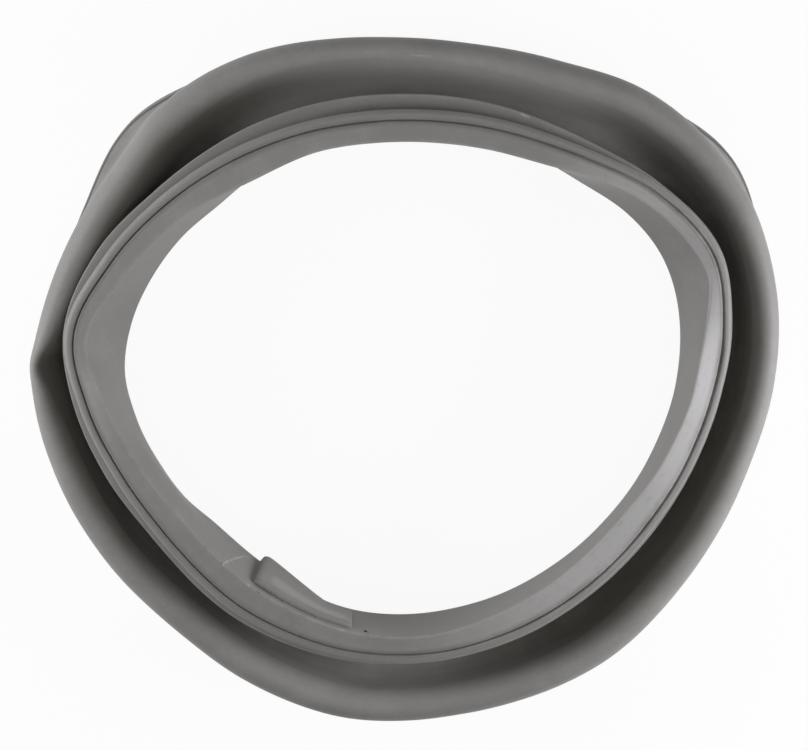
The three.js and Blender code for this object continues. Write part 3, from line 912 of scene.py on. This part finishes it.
def rubber_material(finish):
    """Matt grey rubber: mottled, streaked along the moulding, paler on its rims from wear and painted
    highlight, darker in its folds and grooves from soiling and painted shade, with a painted highlight on
    the face and single marks, some of them painted shade and painted highlight.
    """
    graph = Graph("seal_rubber")
    place = graph.node("TexCoord", {}, "Object")
    flow = graph.attribute("flow", "Vector")
    rubbed_and_highlit = graph.attribute("rubbed_and_highlit")
    pale = graph.attribute("pale")
    grimy_and_shaded = graph.attribute("grimy_and_shaded")

    along = graph.vector("MULTIPLY", flow, STREAK_STRETCH)
    mottle = graph.noise(place, MOTTLE_SIZE, 4, 0.6)
    fine_mottle = graph.noise(place, FINE_MOTTLE_SIZE, 3, 0.6)
    streaks = graph.noise(along, STREAK_WIDTH, 3, 0.65)
    broad_streaks = graph.noise(along, BROAD_STREAK_WIDTH, 2, 0.5)
    grain = graph.noise(place, finish.grain_size, 2, 0.7)
    speckle = graph.noise(place, 2 * finish.grain_size, 2, 0.7)

    bloom_and_highlight = graph.smooth(mottle + fine_mottle * 0.35 + broad_streaks * 0.3, 0.65, 1.15) * 0.34
    bloom_and_highlight = bloom_and_highlight + graph.smooth(streaks, 0.5, 0.8) * 0.12 + graph.smooth(speckle, 0.35, 0.7) * 0.16
    # Pale rims: wear and painted highlight
    worn_and_highlit = graph.smooth(rubbed_and_highlit, 0.6, 1) * graph.smooth(fine_mottle + streaks, 0.55, 1.1)
    bloom_and_highlight = (bloom_and_highlight + worn_and_highlit * 0.35).least(1)
    colour = graph.colour(finish.base, finish.bloom_and_highlight, bloom_and_highlight)
    # Painted highlight on the face
    colour = graph.colour(colour, finish.face_highlight, pale * graph.smooth(streaks + fine_mottle, 0.3, 1))

    # Painted shade in the folds and grooves, mixed with brown soiling and broken up by the mottle
    dirt_and_shade = grimy_and_shaded * graph.smooth(mottle + broad_streaks * 0.5, 0.35, 0.95) * 0.8
    colour = graph.colour(colour, finish.grime_and_shade, dirt_and_shade)

    ragged = graph.noise(place, RAGGED_SIZE, 3, 0.7) * RAGGEDNESS
    # Single marks, among them painted shade and painted highlights
    for start, end, width, tint, strength in MARKS:
        gap = graph.distance_to_line(place, start * MM, end * MM) + ragged
        mark = graph.smooth(gap, (width + 1.5) * MM, (width * 0.5 + 0.8) * MM) * strength
        colour = graph.colour(colour, tint, mark)

    roughness = finish.roughness + bloom_and_highlight * 0.12 + dirt_and_shade * 0.2 + grain * 0.08
    height = grain * 0.35 + streaks * 0.4 + fine_mottle * 0.5
    bump = graph.node("Bump", {"Strength": 0.25, "Distance": BUMP_HEIGHT, "Height": height})
    shader = graph.node("BsdfPrincipled", {
        "Base Color": colour,
        "Roughness": roughness,
        "Normal": bump,
        "Specular IOR Level": 0.4,
        "Sheen Weight": 0.12,
        "Sheen Roughness": 0.5,
    })
    return graph.finish(shader)


def floor_material(colour):
    """Pale floor that looks almost white to the camera and still takes the seal's soft shadow."""
    graph = Graph("studio_floor")
    place = graph.node("TexCoord", {}, "Object")
    cloud = graph.noise(place, 0.4, 3, 0.5)
    tone = graph.colour([part * 0.97 for part in colour], colour, cloud)
    paint = graph.node("BsdfDiffuse", {"Color": tone})
    glow = graph.node("Emission", {"Color": (1, 1, 1, 1), "Strength": 1})
    seen = graph.node("LightPath", {}, "Is Camera Ray")
    mirrored = graph.node("LightPath", {}, "Is Glossy Ray")
    share = (seen + mirrored).least(1) * FLOOR_GLOW
    return graph.finish(graph.node("MixShader", {0: share, 1: paint, 2: glow}))


def soft_lamp(name, place, size, power, colour):
    """A square soft lamp that faces what the camera looks at."""
    light = bpy.data.lights.new(name, "AREA")
    light.shape = "SQUARE"
    light.size = size
    light.energy = power
    light.color = colour
    lamp = bpy.data.objects.new(name, light)
    lamp.location = place
    lamp.rotation_euler = (CAMERA_TARGET - place).to_track_quat("-Z", "Y").to_euler()
    bpy.context.scene.collection.objects.link(lamp)
    return lamp


class SEAL_OT_moulding(bpy.types.Operator):
    """Models the whole rubber moulding: tub ring, bellows, front ring, throat, lug and pinhole"""

    bl_idname = "seal.moulding"
    bl_label = "Rubber moulding"

    def execute(self, context):
        sizes = context.scene.seal_sizes
        angles = column_angles(sizes)
        outlines = [Section(sizes, angle).outline() for angle in angles]
        bm = spun_seal(sizes, angles, outlines)
        add_finish_and_painted_light_layers(bm, sizes, outlines)
        bm.normal_update()
        cut_pinhole(bm, sizes, angles, outlines)
        make_uneven(bm, sizes)
        centre_on_cad(bm)
        bmesh.ops.recalc_face_normals(bm, faces=bm.faces)
        for face in bm.faces:
            face.smooth = True
        for edge in bm.edges:
            edge.smooth = edge.calc_face_angle(0) < SHARP_ANGLE
        seal = new_piece("seal_moulding", bm)
        seal.data.materials.append(rubber_material(context.scene.seal_finish))
        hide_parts(NODE)
        return {"FINISHED"}


class SEAL_OT_studio(bpy.types.Operator):
    """Sets the seal on a pale floor under soft lamps, with the camera looking down on it"""

    bl_idname = "seal.studio"
    bl_label = "Studio"

    def execute(self, context):
        studio = context.scene.seal_studio
        scene = context.scene

        bm = bmesh.new()
        bmesh.ops.create_grid(bm, x_segments=1, y_segments=1, size=FLOOR_SIZE / 2)
        mesh = bpy.data.meshes.new("studio_floor")
        bm.to_mesh(mesh)
        bm.free()
        floor = bpy.data.objects.new("studio_floor", mesh)
        floor.data.materials.append(floor_material(studio.floor))
        scene.collection.objects.link(floor)

        lamps = [
            soft_lamp("lamp_left", LEFT_LAMP_PLACE, SIDE_LAMP_SIZE, studio.left_power, COOL),
            soft_lamp("lamp_right", RIGHT_LAMP_PLACE, SIDE_LAMP_SIZE, studio.right_power, COOL),
            soft_lamp("lamp_back", BACK_LAMP_PLACE, SIDE_LAMP_SIZE, studio.back_power, COOL),
            soft_lamp("lamp_fill", FILL_LAMP_PLACE, FILL_LAMP_SIZE, studio.fill_power, WARM),
        ]

        world = bpy.data.worlds.new("studio_world")
        world.use_nodes = True
        background = world.node_tree.nodes["Background"]
        background.inputs["Color"].default_value = (1, 1, 1, 1)
        background.inputs["Strength"].default_value = studio.ambient
        scene.world = world
        scene.view_settings.view_transform = "Standard"

        camera_data = bpy.data.cameras.new("camera")
        camera_data.lens = CAMERA_FOCAL_LENGTH
        camera = bpy.data.objects.new("camera", camera_data)
        camera.rotation_euler = (-CAMERA_TILT, 0, 0)
        back = Vector((0, math.sin(CAMERA_TILT), math.cos(CAMERA_TILT)))
        camera.location = CAMERA_TARGET + back * CAMERA_DISTANCE
        scene.collection.objects.link(camera)
        scene.camera = camera
        return {"FINISHED"}


class SEAL_PT_panel(bpy.types.Panel):
    """Lists the steps that model the seal and its studio"""

    bl_idname = "SEAL_PT_panel"
    bl_label = "Door seal"
    bl_space_type = "VIEW_3D"
    bl_region_type = "UI"
    bl_category = "Door seal"

    def draw(self, context):
        for step in STEPS:
            self.layout.operator(step.bl_idname)


STEPS = (SEAL_OT_moulding, SEAL_OT_studio)
CLASSES = (SealSizes, RubberFinish, StudioSetup, *STEPS, SEAL_PT_panel)


def register():
    for cls in CLASSES:
        bpy.utils.register_class(cls)
    bpy.types.Scene.seal_sizes = PointerProperty(type=SealSizes)
    bpy.types.Scene.seal_finish = PointerProperty(type=RubberFinish)
    bpy.types.Scene.seal_studio = PointerProperty(type=StudioSetup)


def unregister():
    del bpy.types.Scene.seal_studio
    del bpy.types.Scene.seal_finish
    del bpy.types.Scene.seal_sizes
    for cls in reversed(CLASSES):
        bpy.utils.unregister_class(cls)


def main():
    register()
    bpy.ops.seal.moulding()
    bpy.ops.seal.studio()


if __name__ == "__main__":
    main()
